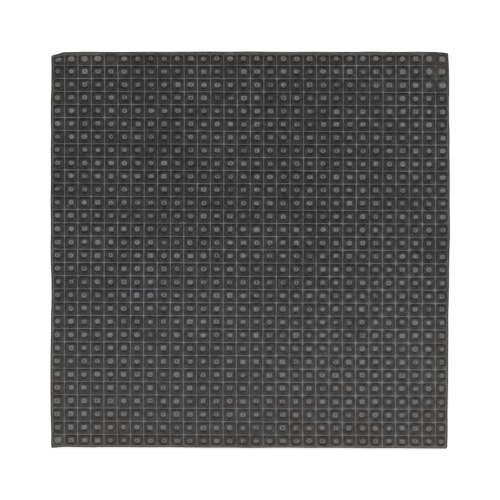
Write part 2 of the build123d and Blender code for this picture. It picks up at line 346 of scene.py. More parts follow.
# ---------------------------------------------------------------- the rubber skin
@dataclass(frozen=True)
class Ring:
    """One ring of a pocket's patch.

    half is its half width, corner its corner radius (none on a round ring), level its height as
    a part of the relief, and dust how much dust lies on it, from 0 to 1.
    """

    half: float
    corner: float | None
    level: float
    dust: float


@dataclass(frozen=True)
class Border:
    """The land along one side of the mat.

    floor and lip say where it begins, from the middle of an outermost pocket, nub_shift how far
    the nub there sits off that middle, outwards, and rounding how wide its outer edge is rounded.
    """

    floor: float
    lip: float
    nub_shift: float
    rounding: float


class Side(Enum):
    """A side of the mat, as the outward direction along X and Y."""

    LEFT = (-1, 0)
    RIGHT = (1, 0)
    FRONT = (0, -1)
    BACK = (0, 1)


@dataclass
class Pockets:
    """Where each pocket is and how it was moulded, in arrays with one row a pocket.

    A range is the least and the most of a value that every pocket draws for itself. Lengths are
    in millimetres. A nub's dimple is its pit, which is a slit in the mat's middle columns.
    """

    sizes: MatSizes
    borders: dict[Side, Border]
    rng: np.random.Generator
    swell_range: Range = (0.92, 1.08)
    squash_range: Range = (-0.06, 0.06)
    shift_range: Range = (-0.3, 0.3)
    lean_range: Range = (-0.015, 0.015)
    height_range: Range = (0.93, 1.0)
    pit_size_range: Range = (0.8, 1.15)
    pit_long_range: Range = (-0.4, 0.1)
    pit_x_range: Range = (-0.55, 0.55)
    pit_y_range: Range = (-0.5, 0.5)
    pit_depth_range: Range = (-0.35, 1.4)
    bright_range: Range = (0.0, 0.22)
    gap_range: Range = (-0.10, 0.10)
    block_range: Range = (-0.3, 0.8)
    widen_range: Range = (-0.14, 0.14)
    round_off_range: Range = (0.7, 1.35)
    tone_spread: float = 0.13
    tone_range: Range = (0.65, 1.35)
    nub_back: float = 0.45
    flat_swell: float = 0.2
    fill_sink: float = 0.3
    slit_reach: float = 8.0
    slit_size: float = 0.35
    slit_long: float = 0.30
    blocky_reach: float = 5.0
    blocky_gain: float = 1.4
    soft_corner_gain: float = 1.2
    outermost_corner: float = 0.6
    plug_column: int = 4
    plug_fill: float = 0.80
    light_fill: float = 0.10
    back_left_fill: float = 0.16
    back_right_fill: float = 0.14
    front_left_fill: float = 0.45

    def __post_init__(self) -> None:
        """Numbers the pockets row by row from the front left one, and draws their values."""
        side, last = self.sizes.cells, self.sizes.cells - 1
        self.row, self.column = [index.ravel() for index in np.mgrid[0:side, 0:side]]
        self.count = len(self.row)
        self.middle_x = (self.column - last / 2) * self.sizes.pitch
        self.middle_y = (self.row - last / 2) * self.sizes.pitch
        self.beside = {
            Side.LEFT: self.column == 0,
            Side.RIGHT: self.column == last,
            Side.FRONT: self.row == 0,
            Side.BACK: self.row == last,
        }
        self.slit = hump(self.column, last / 2, self.slit_reach)[:, None]
        self.fill, self.flat_nub = self.filling(last)
        self.draw_nubs()
        self.draw_pits()
        self.draw_forms(last)

    def draw(self, limits: Range) -> Array:
        """One random value a pocket, between two limits, as a column."""
        return self.rng.uniform(*limits, self.count)[:, None]

    def filling(self, last: int) -> tuple[Array, Array]:
        """How far each pocket is filled or moulded shallow, and which nubs are flattened.

        Args:
            last: number of the last row and column.

        Returns:
            The filling, from 0 to 1, and true where a nub is flattened, as columns.
        """
        row, column = self.row, self.column
        back_left = (row == last) & (column < self.plug_column)
        back_right = (row > last - 3) & (column > last - 2)
        front_left = (row == 0) & (column == 0)
        plugged = (row == last) & (column == self.plug_column)
        noise = soft_noise(column * 1.0, row * 1.0, 3.0, Pattern.FILLING)
        fill = self.light_fill * np.clip(noise, 0.0, 1.0)
        for where, amount in (
            (back_left, self.back_left_fill),
            (back_right, self.back_right_fill),
            (front_left, self.front_left_fill),
            (plugged, self.plug_fill),
        ):
            fill = np.maximum(fill, amount * where)
        return fill[:, None], (back_left | back_right | front_left)[:, None]

    def draw_nubs(self) -> None:
        """Draws each nub's size, place, lean and height.

        An outermost nub is shifted by its border as well.
        """
        self.swell = self.draw(self.swell_range) + self.flat_swell * self.flat_nub
        self.squash = self.draw(self.squash_range)
        self.shift_x = self.draw(self.shift_range)
        self.shift_y = self.draw(self.shift_range) + self.nub_back
        self.lean_x, self.lean_y = self.draw(self.lean_range), self.draw(self.lean_range)
        self.height = self.draw(self.height_range) - self.fill_sink * self.fill
        for side, where in self.beside.items():
            shift = self.borders[side].nub_shift
            self.shift_x = self.shift_x + (side.value[0] * shift * where)[:, None]
            self.shift_y = self.shift_y + (side.value[1] * shift * where)[:, None]

    def draw_pits(self) -> None:
        """Draws each dimple's size, length along Y, place and depth, with none in a flat nub."""
        self.pit_size = self.draw(self.pit_size_range) * (1.0 + self.slit_size * self.slit)
        self.pit_long = self.draw(self.pit_long_range) - self.slit_long * self.slit
        self.pit_x, self.pit_y = self.draw(self.pit_x_range), self.draw(self.pit_y_range)
        self.pit_depth = np.maximum(self.draw(self.pit_depth_range), 0.0) * ~self.flat_nub

    def draw_forms(self, last: int) -> None:
        """Draws each nub's bright side, gap and squareness, and the pocket's width, corners and tone.

        Args:
            last: number of the last row and column.
        """
        whole_turn = (0.0, 2.0 * math.pi)
        row, column = self.row, self.column
        blocky = np.clip(1.0 - (column + row) / self.blocky_reach, 0.0, 1.0)[:, None]
        soft_corner = smooth_step(0.0, 0.5, (column - row) / last) * smooth_step(0.4, 0.7, column / last)
        outermost = (column % last == 0) | (row % last == 0)
        self.bright_angle, self.bright_side = self.draw(whole_turn), self.draw(self.bright_range)
        self.gap_angle = self.draw(whole_turn)
        self.gap_depth = np.maximum(self.draw(self.gap_range), 0.0)
        self.block = np.clip(self.draw(self.block_range) + self.blocky_gain * blocky, 0.0, 1.0)
        self.widen = self.draw(self.widen_range)
        self.round_off = self.draw(self.round_off_range) + self.soft_corner_gain * soft_corner[:, None]
        self.round_off = self.round_off * np.where(outermost, self.outermost_corner, 1.0)[:, None]
        tone = self.rng.normal(1.0, self.tone_spread, self.count)
        self.tone = np.clip(tone, *self.tone_range)[:, None]


@dataclass
class WaffleSkin:
    """The top cover: pockets between thin ribs, with a dimpled nub in the middle of each.

    A pocket is a patch of rings round its middle. The inner rings are circles, which make the
    nub, and the outer ones squares with rounded corners, which make the floor and the ribs.
    """

    sizes: MatSizes
    wear: Wear
    name: str = "waffle_skin"
    spokes: int = 16
    pit: Ring = Ring(0.82, None, 0.74, 0.34)
    crown: Ring = Ring(1.85, None, 1.0, 0.96)
    shoulder: Ring = Ring(2.8, None, 0.84, 0.60)
    foot: Ring = Ring(3.9, None, 0.05, 0.09)
    floor: Ring = Ring(7.0, 2.1, 0.0, 0.07)
    lip: Ring = Ring(7.85, 1.7, 0.76, 0.155)
    line: Ring = Ring(0.0, 1.5, 0.84, 0.72)  # its half width is half a pitch
    borders: dict[Side, Border] = field(
        default_factory=lambda: {
            Side.LEFT: Border(4.7, 5.4, 0.3, 1.9),
            Side.RIGHT: Border(5.2, 5.9, 0.2, 1.7),
            Side.FRONT: Border(5.5, 6.2, 0.1, 1.2),
            Side.BACK: Border(3.6, 4.2, -0.6, 1.8),
        }
    )
    nub_wide: float = 1.05
    nub_deep: float = 0.95
    nub_square: float = 0.75
    nub_margin: float = 0.15
    pit_longest: float = 1.75
    pit_hollow: float = 0.02
    pit_bare: float = 0.25
    slit_shade: float = 0.14
    side_shade: float = 0.06
    slit_side_shade: float = 0.15
    gap_shade: float = 1.5
    plugged_from: float = 0.6
    plugged_part: float = 0.30
    plugged_dust: float = 0.04
    low_dust: float = 0.4
    fill_level: float = 0.8
    fill_dust: float = 0.12
    land_level: float = 0.97
    floor_edge_dust: float = 0.12
    land_dust: float = 0.46
    rim_dust: float = 0.24
    wall_dust: float = 0.05
    crossing_dip: float = 0.12
    faint_level: float = 0.45
    faint_dust: float = 0.6
    stray: float = 0.13
    rounding_drop: float = 0.8
    seam: float = 0.3
    near_line: float = 0.01

    def rings(self) -> tuple[Ring, ...]:
        """The seven rings, from the nub's dimple out to the ribs' centre lines."""
        return (self.pit, self.crown, self.shoulder, self.foot, self.floor, self.lip, self.line)

    @property
    def angles(self) -> Array:
        """The spokes' angles, anticlockwise from the right."""
        return np.arange(self.spokes) * (2.0 * math.pi / self.spokes)

    @property
    def painted_nub_shadow(self) -> Array:
        """Painted shadow on a floor along each spoke: most in front of its nub, where its shadow falls, and
        half as much behind it.
        """
        ahead = np.sin(self.angles)
        return np.clip(-ahead, 0.0, 1.0) ** 3 + 0.5 * np.clip(ahead, 0.0, 1.0) ** 3

    def square_spokes(self) -> tuple[Array, Array, Array, Array]:
        """How the spokes meet a square ring: at a side's middle, where a corner's arc begins, and
        in the middle of that arc, which lies inside the corner by 1 - sqrt(1/2) radii each way.

        Returns:
            For each spoke its direction along X and Y, -1, 0 or 1, and its insets in radii.
        """
        c, s = np.round(np.cos(self.angles), 6), np.round(np.sin(self.angles), 6)
        level, steep = np.abs(c) > np.abs(s), np.abs(s) > np.abs(c)
        middle = 1.0 - math.sqrt(0.5)
        inset_x = np.where(level, 0.0, np.where(steep, 1.0, middle))
        inset_y = np.where(steep, 0.0, np.where(level, 1.0, middle))
        return np.sign(c), np.sign(s), inset_x, inset_y

    def reach(self, pockets: Pockets, side: Side, ring: Ring) -> Array:
        """Half width of a square ring towards one side, pocket by pocket.

        Args:
            pockets: the pockets.
            side: towards which side of the mat.
            ring: which ring.

        Returns:
            The half widths, as a column.
        """
        if ring is self.line:
            return np.full((pockets.count, 1), self.sizes.pitch / 2)
        outer = self.borders[side].floor if ring is self.floor else self.borders[side].lip
        return np.where(pockets.beside[side][:, None], outer, ring.half + pockets.widen)

    def pit_level(self, pockets: Pockets) -> Array:
        """Height of each dimple's ring: the crown's, less the pit's depth times the pocket's."""
        return self.crown.level - (self.crown.level - self.pit.level) * pockets.pit_depth

    def nub_middle(self, pockets: Pockets) -> list[Array]:
        """The point in the middle of each dimple.

        Args:
            pockets: the pockets.

        Returns:
            Its x, y, height and dust, as columns.
        """
        level = (self.pit_level(pockets) - self.pit_hollow * pockets.pit_depth) * pockets.height
        return [
            pockets.shift_x + pockets.pit_x,
            pockets.shift_y + pockets.pit_y,
            np.maximum(level, self.fill_level * pockets.fill),
            self.pit.dust * pockets.tone - self.slit_shade * pockets.slit,
        ]

    def nub_ring(self, pockets: Pockets, ring: Ring) -> list[Array]:
        """One round ring of each nub.

        At angle a the point is the ring's half width times its growth times cos a along X and
        sin a along Y, pushed out towards a square in blocky pockets, and kept on the floor.

        Args:
            pockets: the pockets.
            ring: which ring.

        Returns:
            x, y, height and dust, one row a pocket and one column a spoke.
        """
        c, s = np.cos(self.angles), np.sin(self.angles)
        square = 1.0 + self.nub_square * pockets.block * (1.0 / np.maximum(np.abs(c), np.abs(s)) - 1.0)
        gap = pockets.gap_depth * np.clip(np.cos(self.angles - pockets.gap_angle), 0.0, 1.0) ** 2
        shade = ring.dust * pockets.tone * (1.0 - self.gap_shade * gap)
        if ring is self.pit:
            grow_x = pockets.pit_size * (1 + pockets.pit_long)
            grow_y = np.minimum(pockets.pit_size * (1 - pockets.pit_long), self.pit_longest)
            off_x, off_y, level = pockets.pit_x, pockets.pit_y, self.pit_level(pockets)
            shade = shade + self.pit_bare * (1.0 - pockets.pit_depth)
        else:
            grow_x = self.nub_wide * pockets.swell * (1 + pockets.squash)
            grow_y = self.nub_deep * pockets.swell * (1 - pockets.squash)
            off_x, off_y, level = 0.0, 0.0, ring.level * (1.0 - gap * (ring is self.crown))
        x = ring.half * grow_x * square * c + pockets.shift_x + off_x
        y = ring.half * grow_y * square * s + pockets.shift_y + off_y
        lean = (pockets.lean_x * x + pockets.lean_y * y) * (ring is not self.foot)
        z = np.maximum(level * pockets.height + lean, self.fill_level * pockets.fill)
        shade = shade * (1.0 + pockets.bright_side * np.cos(self.angles - pockets.bright_angle))
        two_sided = self.side_shade + self.slit_side_shade * pockets.slit
        shade = shade * (1.0 + two_sided * np.cos(2.0 * self.angles))
        # painted shadow: the nub's foot is darker in front of and behind the nub
        shade = shade * (1.0 - self.painted_nub_shadow * (ring is self.foot))
        shade = shade - self.slit_shade * pockets.slit * (ring is self.pit)
        west, east, south, north = (
            self.reach(pockets, side, self.floor) - self.nub_margin
            for side in (Side.LEFT, Side.RIGHT, Side.FRONT, Side.BACK)
        )
        return [np.clip(x, -west, east), np.clip(y, -south, north), z, shade]

    def square_ring(self, pockets: Pockets, ring: Ring) -> list[Array]:
        """One square ring of each pocket, with the land where the pocket is an outermost one.

        Args:
            pockets: the pockets.
            ring: which ring.

        Returns:
            x, y, height and dust, one row a pocket and one column a spoke.
        """
        on_line = ring is self.line
        way_x, way_y, inset_x, inset_y = self.square_spokes()
        bend = 1.0 if on_line else pockets.round_off
        cut = (inset_x * inset_y == 0) if on_line else 1.0  # the lines' corner points stay square
        west, east, south, north = (
            self.reach(pockets, side, ring) for side in (Side.LEFT, Side.RIGHT, Side.FRONT, Side.BACK)
        )
        x = way_x * (np.where(way_x < 0, west, east) - inset_x * cut * ring.corner * bend)
        y = way_y * (np.where(way_y < 0, south, north) - inset_y * cut * ring.corner * bend)
        land = np.full(x.shape, False)
        for side, where in pockets.beside.items():
            land |= where[:, None] & (way_x * side.value[0] + way_y * side.value[1] > 0)
        rise = np.maximum(ring.level, self.fill_level * pockets.fill * (not on_line))
        z = np.where(land & (ring is not self.floor), self.land_level, rise)
        land_dust = {self.floor: self.floor_edge_dust, self.lip: self.land_dust, self.line: self.rim_dust}
        # painted shadow: the floor and lip rings are darker in front of and behind the nub
        shade = np.where(land, land_dust[ring], ring.dust * (1.0 - self.painted_nub_shadow * (not on_line)))
        return [x, y, z, shade]

    def patches(self, pockets: Pockets) -> tuple[Array, Array]:
        """Every pocket's patch, with points on shared lines still doubled.

        Dust is thin in the plugged pocket, and thicker on the low points of a shallow one.

        Args:
            pockets: the pockets.

        Returns:
            Points by pocket and place in the patch, with height as a part of the relief, and dust.
        """
        layers = [self.nub_middle(pockets)]
        for ring in self.rings():
            layers.append((self.nub_ring if ring.corner is None else self.square_ring)(pockets, ring))
        x, y, z, dust = (np.concatenate([layer[part] for layer in layers], axis=1) for part in range(4))
        points = np.stack([x + pockets.middle_x[:, None], y + pockets.middle_y[:, None], z], axis=2)
        plugged = pockets.fill > self.plugged_from
        low = (dust < self.low_dust) & ~plugged
        dust = np.where(plugged, self.plugged_part * dust + self.plugged_dust, dust)
        return points, np.where(low, dust + self.fill_dust * pockets.fill, dust)

    def weld(self, points: Array, dust: Array) -> tuple[Array, Array, Array, list[Array]]:
        """Numbers the patches' faces and makes one point of those that meet on a line.

        Args:
            points: positions by pocket and place in the patch.
            dust: the dust on them.

        Returns:
            The welded points, their dust, the number of each one's ring (0 for a nub's middle),
            and the quads and triangles.
        """
        count, per_cell, _ = points.shape
        offsets = (np.arange(count) * per_cell)[:, None, None]
        ring_faces = quads_of(len(self.rings()), self.spokes, closed=True)[:, ::-1] + 1
        quads = (ring_faces[None] + offsets).reshape(-1, 4)
        tris = (fan_of(np.arange(1, self.spokes + 1), 0)[None] + offsets).reshape(-1, 3)
        ring_of = np.tile((np.arange(per_cell) + self.spokes - 1) // self.spokes, count)
        flat = points.reshape(-1, 3)
        hundredths = np.round(flat[:, :2] * 100.0).astype(np.int64)
        _, first, welded = np.unique(hundredths, axis=0, return_index=True, return_inverse=True)
        faces = [welded.ravel()[quads], welded.ravel()[tris]]
        return flat[first], dust.ravel()[first], ring_of[first], faces

    def build(self) -> bpy.types.Object:
        """Works out the welded pockets, the side wall below them and the flat underside.

        Returns:
            The skin's object.
        """
        rng = np.random.default_rng(SEED)
        pockets = Pockets(self.sizes, self.borders, rng)
        flat, dust, ring_of, faces = self.weld(*self.patches(pockets))
        flat, dust = self.weathered(flat, dust, ring_of, rng)
        wall, wall_faces, cap = self.wall_below(flat, self.rim_of(flat))
        points = np.concatenate([flat, wall])
        masks = {
            # the dust mask also carries painted shadow in front of the nubs and a painted highlight on ribs
            # along X
            "dust": np.concatenate([dust, np.full(len(wall), self.wall_dust)]),
            "soil": self.soiled(points),
        }
        return mesh_piece(self.name, self.wear.moved(points) * MM, [*faces, wall_faces, cap], masks)

    def faintness(self, x: Array, y: Array) -> Array:
        """How faintly the ribs are moulded: most in the back right pockets, and a little in patches.

        Args:
            x: places along X in millimetres.
            y: places along Y.

        Returns:
            The faintness, from 0 to 1.
        """
        inner = self.sizes.half - self.sizes.pitch
        corner = smooth_step(inner - 16.0, inner - 10.0, x) * smooth_step(inner - 34.0, inner - 26.0, y)
        patches = np.clip(soft_noise(x, y, 40.0, Pattern.WORN_RIBS) - 0.45, 0.0, 1.0)
        return np.maximum(corner, 0.3 * patches)

    def waves(self, x: Array, y: Array) -> Array:
        """Slow unevenness of the moulded height, as a part of the relief: two sizes of noise."""
        near_wave = soft_noise(x, y, 9.0, Pattern.NEAR_WAVE)
        wide_wave = soft_noise(x, y, 47.0, Pattern.WIDE_WAVE)
        return 0.04 * near_wave + 0.04 * wide_wave - 0.04

    def rib_dust_and_highlight(self, x: Array, y: Array, on_x: Array) -> Array:
        """How much lighter a rib's line is than usual: dust, and a painted highlight on ribs along X.

        Ribs along X and along Y follow noise of their own, and those along X get a little more, a painted
        highlight where light falls on their flanks.

        Args:
            x: places along X in millimetres.
            y: places along Y.
            on_x: true on ribs that run along X.

        Returns:
            The part of the dust and painted highlight to add.
        """
        along_x = soft_noise(x, y, 11.0, Pattern.RIB_ALONG_X)
        along_y = soft_noise(x, y, 11.0, Pattern.RIB_ALONG_Y)
        # 0.08 * on_x is a painted highlight: ribs along X are made lighter as if lit on their flanks
        return 0.45 * np.where(on_x, along_x, along_y) + 0.08 * on_x

    def dusted(self, x: Array, y: Array, dust: Array) -> Array:
        """Makes the dust uneven by two sizes of noise, and makes the skin lighter towards the front and
        right.

        Args:
            x: places along X in millimetres.
            y: places along Y.
            dust: dust on each point.

        Returns:
            The uneven dust.
        """
        half = self.sizes.half
        near_dust = soft_noise(x, y, 14.0, Pattern.NEAR_DUST)
        wide_dust = soft_noise(x, y, 60.0, Pattern.WIDE_DUST)
        # the skin is made lighter towards the front and right
        lighter_to_front_right = smooth_step(-0.4, 1.0, -y / half) + 0.25 * smooth_step(0.2, 1.0, x / half)
        return dust * (0.97 + 0.32 * near_dust + 0.10 * wide_dust + 0.24 * lighter_to_front_right) + 0.15 * lighter_to_front_right - 0.012

    def weathered(
        self, flat: Array, dust: Array, ring_of: Array, rng: np.random.Generator
    ) -> tuple[Array, Array]:
        """Gives the welded points their heights in millimetres and their uneven dust.

        A rib's level falls where it was moulded faintly, and dips in the middle of a crossing.
        Every point inside the outline strays a little from its place.

        Args:
            flat: x and y in millimetres, and height as a part of the relief.
            dust: dust on each point.
            ring_of: number of each point's ring, 0 for a nub's middle.
            rng: source of random values.

        Returns:
            The points in millimetres and the dust on them.
        """
        sizes = self.sizes
        x, y, level = flat[:, 0], flat[:, 1], flat[:, 2]
        on_line, on_rib = ring_of == len(self.rings()), ring_of >= len(self.rings()) - 1
        steps = flat[:, :2] / sizes.pitch
        off_lines = np.abs(steps - np.round(steps))
        crossing = on_line & (off_lines.max(axis=1) < self.near_line)
        faint = self.faintness(x, y) * on_rib
        dip = crossing * self.crossing_dip * rng.uniform(0.2, 1.6, len(flat))
        high = smooth_step(0.3, 0.8, level) * np.where(on_line, 1.0, 0.5)
        level = level * (1.0 - self.faint_level * faint) - dip + self.waves(x, y) * high

        dust = dust * (1.0 - self.faint_dust * faint) * np.where(crossing, 1.25 - 3.0 * dip, 1.0)
        # the ribs' dust, with a painted highlight on ribs along X
        dust = dust * (1.0 + on_line * self.rib_dust_and_highlight(x, y, off_lines[:, 1] < self.near_line))

        stray = np.stack([soft_noise(x, y, 8.0, way) for way in (Pattern.STRAY_X, Pattern.STRAY_Y)], axis=1)
        inside = (np.abs(flat[:, :2]).max(axis=1) < sizes.half - self.near_line)[:, None]
        placed = flat[:, :2] + self.stray * stray * inside
        height = sizes.floor + sizes.relief * np.clip(level, 0.0, 1.0)
        return np.column_stack([placed, height]), self.dusted(x, y, dust)

    def soiled(self, points: Array) -> Array:
        """How brown with soil each point is: most along the edges and at the front, and least
        across the middle.

        Args:
            points: positions in millimetres.

        Returns:
            The soil, from 0 to 1.
        """
        x, y = points[:, 0], points[:, 1]
        u, v = x / self.sizes.half, y / self.sizes.half
        edge = smooth_step(0.92, 1.0, np.maximum(np.abs(u), np.abs(v)))
        ends = 0.40 * smooth_step(0.3, 1.0, -v) + 0.15 * smooth_step(0.5, 1.0, v)
        clear = 0.22 * hump(v, -0.05, 0.35) * smooth_step(-0.9, 0.2, -u)
        return 0.25 + 0.7 * edge + ends - clear + 0.12 * soft_noise(x, y, 38.0, Pattern.SOIL)

    def rim_of(self, flat: Array) -> Array:
        """Numbers of the points on the outline, once round anticlockwise.

        Args:
            flat: the welded points, in millimetres.

        Returns:
            Point numbers, in the order of their angle about the middle.
        """
        edge = np.where(np.abs(flat[:, :2]).max(axis=1) > self.sizes.half - self.near_line)[0]
        return edge[np.argsort(np.arctan2(flat[edge, 1], flat[edge, 0]))]

    def wall_below(self, flat: Array, rim: Array) -> tuple[Array, Array, Array]:
        """The side wall: the rim is drawn in, rounded over and carried down to the underside.

        The rounding is an arc: after a turn t it is 1 - sin t of its width from the outline, and
        down by 1 - cos t of rounding_drop widths.

        Args:
            flat: the welded points; the rim's are drawn in by the edge's rounding.
            rim: numbers of the rim's points.

        Returns:
            New points, the wall's quads, and the triangles that close the underside.
        """
        sizes, borders, loop = self.sizes, self.borders, flat[rim].copy()
        out = np.sign(loop[:, :2]) * (np.abs(loop[:, :2]) > sizes.half - self.near_line)
        beside = np.where(loop[:, 0] > 0, borders[Side.RIGHT].rounding, borders[Side.LEFT].rounding)
        ahead = np.where(loop[:, 1] > 0, borders[Side.BACK].rounding, borders[Side.FRONT].rounding)
        rounding = np.stack([beside, ahead], axis=1)
        width = (rounding * np.abs(out)).max(axis=1)
        flat[rim, :2] -= out * rounding
        turns = (0.6, 1.1, math.pi / 2)
        arcs = [(1.0 - math.sin(turn), self.rounding_drop * (1.0 - math.cos(turn))) for turn in turns]
        rings = [
            np.column_stack([loop[:, :2] - out * rounding * inward, loop[:, 2] - width * drop])
            for inward, drop in arcs
        ]
        for inward, height in ((0.0, sizes.web + self.seam), (self.seam, sizes.web)):
            rings.append(np.column_stack([loop[:, :2] - out * inward, np.full(len(rim), height)]))
        size, base = len(rim), len(flat)
        new = np.concatenate([*rings, [[0.0, 0.0, sizes.web]]])
        numbers = np.concatenate([rim, base + np.arange(len(rings) * size)])
        faces = numbers[quads_of(len(rings) + 1, size, closed=True)][:, ::-1]
        cap = fan_of(base + (len(rings) - 1) * size + np.arange(size), base + len(rings) * size)
        return new, faces, cap[:, ::-1]


# ---------------------------------------------------------------- the layers under it
def layered_slab(layers: Array, keep: Array) -> tuple[Array, Array]:
    """Closes a stack of plan grids into a solid.

    The first layer is the underside and the last one the top, over the kept cells only. Walls
    join layer to layer along every side of a kept cell that has no kept neighbour.

    Args:
        layers: positions by layer, row and column.
        keep: which cells of the plan are solid, anticlockwise seen from above.

    Returns:
        The points that faces use, and the quads.
    """
    depth, rows, columns, _ = layers.shape
    plan = rows * columns
    cells = quads_of(rows, columns).reshape(rows - 1, columns - 1, 4)
    padded = np.pad(keep, 1)
    beside = (padded[:-2, 1:-1], padded[1:-1, 2:], padded[2:, 1:-1], padded[1:-1, :-2])
    blocks = [cells[keep] + (depth - 1) * plan, cells[keep][:, ::-1]]
    for corner, neighbour in enumerate(beside):
        start, end = cells[..., corner], cells[..., (corner + 1) % 4]
        bare = keep & ~neighbour
        for low in range(depth - 1):
            a, b = start[bare] + low * plan, end[bare] + low * plan
            blocks.append(np.stack([a, b, b + plan, a + plan], axis=1))
    quads = np.concatenate(blocks)
    used, renumbered = np.unique(quads, return_inverse=True)
    return layers.reshape(-1, 3)[used], renumbered.reshape(quads.shape)


@dataclass
class EdgeBand:
    """The strip that closes the mat's sides: a C in plan, open where the socket's shell sits and
    slotted for its lugs."""

    sizes: MatSizes
    wear: Wear
    name: str = "edge_band"
    width: float = 14.0
    shell_half: float = 9.0
    lug_near: float = 5.0
    lug_far: float = 8.0
    lug_half: float = 12.0
    core_heights: Range = (4.6, 7.3)
    seam: float = 0.3
    step: float = 8.5
    saw: float = 0.07
    saw_span: float = 5.0
    straight_share: float = 0.8

    def stations(self) -> tuple[Array, Array]:
        """Places round the mat, anticlockwise from the shell's right side to its left side.

        Returns:
            The side's number, 0 to 3 from the front, and the place along that side.
        """
        half, middle = self.sizes.half, self.sizes.shell_x
        full = np.linspace(-half, half, round(2 * half / self.step) + 1)
        right_end, left_end = middle + self.lug_half, middle - self.lug_half
        first = np.concatenate([[middle + self.shell_half, right_end], full[full > right_end + 1.0]])
        final = np.concatenate([full[full < left_end - 1.0], [left_end, middle - self.shell_half]])[1:]
        places = [first, full[1:], full[1:], full[1:], final]
        sides = np.concatenate([np.full(len(place), side % 4) for side, place in enumerate(places)])
        return sides, np.concatenate(places)

    def build(self) -> bpy.types.Object:
        """Carries the band's section round the stations, from the outside in.

        Up to straight_share of a side the section stays square to it; past that the inner points
        draw in by the part of the way that they lie inside the outline, which mitres the corner.

        Returns:
            The band's object.
        """
        sizes = self.sizes
        side, along = self.stations()
        offsets = np.array([0.0, self.lug_near, self.lug_far, self.width])
        turn = side * (math.pi / 2)
        way_x, way_y = np.round(np.cos(turn)), np.round(np.sin(turn))
        seam_heights = (sizes.core + self.seam, *self.core_heights, sizes.web - self.seam)
        heights = (sizes.core, *seam_heights, sizes.web)
        insets = (self.seam, 0.0, 0.0, 0.0, 0.0, self.seam)
        straight = self.straight_share * sizes.half
        outermost = offsets == 0.0
        layers = []
        for level, (height, inset) in enumerate(zip(heights, insets)):
            round_mat, down_wall = along + 600.0 * side, 0.0 * along + 3.0 * level
            cut = self.saw * soft_noise(round_mat, down_wall, self.saw_span, Pattern.SAWN_EDGE)
            out = sizes.half - offsets[None, :] - inset * outermost - cut[:, None] * outermost
            squeeze = (sizes.half - offsets - straight) / (sizes.half - straight)
            past = np.clip(np.abs(along) - straight, 0.0, None)[:, None] * (1.0 - squeeze[None, :])
            place = along[:, None] - np.sign(along)[:, None] * past
            x = place * way_x[:, None] + out * way_y[:, None]
            y = place * way_y[:, None] - out * way_x[:, None]
            layers.append(np.stack([x, y, np.full_like(x, height)], axis=2))
        keep = np.full((len(along) - 1, len(offsets) - 1), True)
        keep[[0, -1], 1] = False
        points, quads = layered_slab(np.stack(layers)[:, :, ::-1], keep[:, ::-1])
        return mesh_piece(self.name, self.wear.moved(points) * MM, [quads])


@dataclass
class BaseSheet:
    """The bottom cover: a sheet with blind grip grooves across its underside."""

    sizes: MatSizes
    wear: Wear
    name: str = "base_sheet"
    grooves: int = 14
    groove_width: float = 3.0
    groove_depth: float = 0.8
    groove_length: float = 440.0
    slope: float = 0.25
    seam: float = 0.3
    step: float = 8.5

    def trough(self, value: Array, middles: Array, width: float) -> Array:
        """Rises from 0 to 1 over a slope's width at each side of a groove, and stays 1 in it."""
        inside = width / 2 - np.abs(value[:, None] - middles[None, :]).min(axis=1)
        return np.clip(inside / (2 * self.slope) + 0.5, 0.0, 1.0)

    def build(self) -> bpy.types.Object:
        """Works out the sheet: its underside's height is the groove depth times the lesser of the
        troughs along X and Y.

        Returns:
            The sheet's object.
        """
        half, top = self.sizes.half, self.sizes.core
        pitch = 2 * self.sizes.pitch
        rows = (np.arange(self.grooves) - (self.grooves - 1) / 2) * pitch
        even = np.linspace(-half, half, round(2 * half / self.step) + 1)
        knees = np.array([-self.slope, self.slope])
        ends = np.array([-1.0, 1.0])[:, None]
        x_knots = np.unique(np.concatenate([even, (ends * self.groove_length / 2 + knees).ravel()]))
        walls = (ends * self.groove_width / 2 + knees).ravel()
        y_knots = np.unique(np.concatenate([even, (rows[:, None] + walls).ravel()]).round(6))
        x, y = np.meshgrid(x_knots, y_knots)
        depth_x = self.trough(x_knots, np.zeros(1), self.groove_length)
        depth_y = self.trough(y_knots, rows, self.groove_width)
        sunk = self.groove_depth * np.minimum(depth_x[None, :], depth_y[:, None])
        layers = [
            np.stack([np.clip(x, -reach, reach), np.clip(y, -reach, reach), height], axis=2)
            for reach, height in (
                (half - self.seam, sunk),
                (half, np.full_like(x, self.seam)),
                (half, np.full_like(x, top - self.seam)),
                (half - self.seam, np.full_like(x, top)),
            )
        ]
        keep = np.full((len(y_knots) - 1, len(x_knots) - 1), True)
        points, quads = layered_slab(np.stack(layers), keep)
        return mesh_piece(self.name, self.wear.moved(points) * MM, [quads])


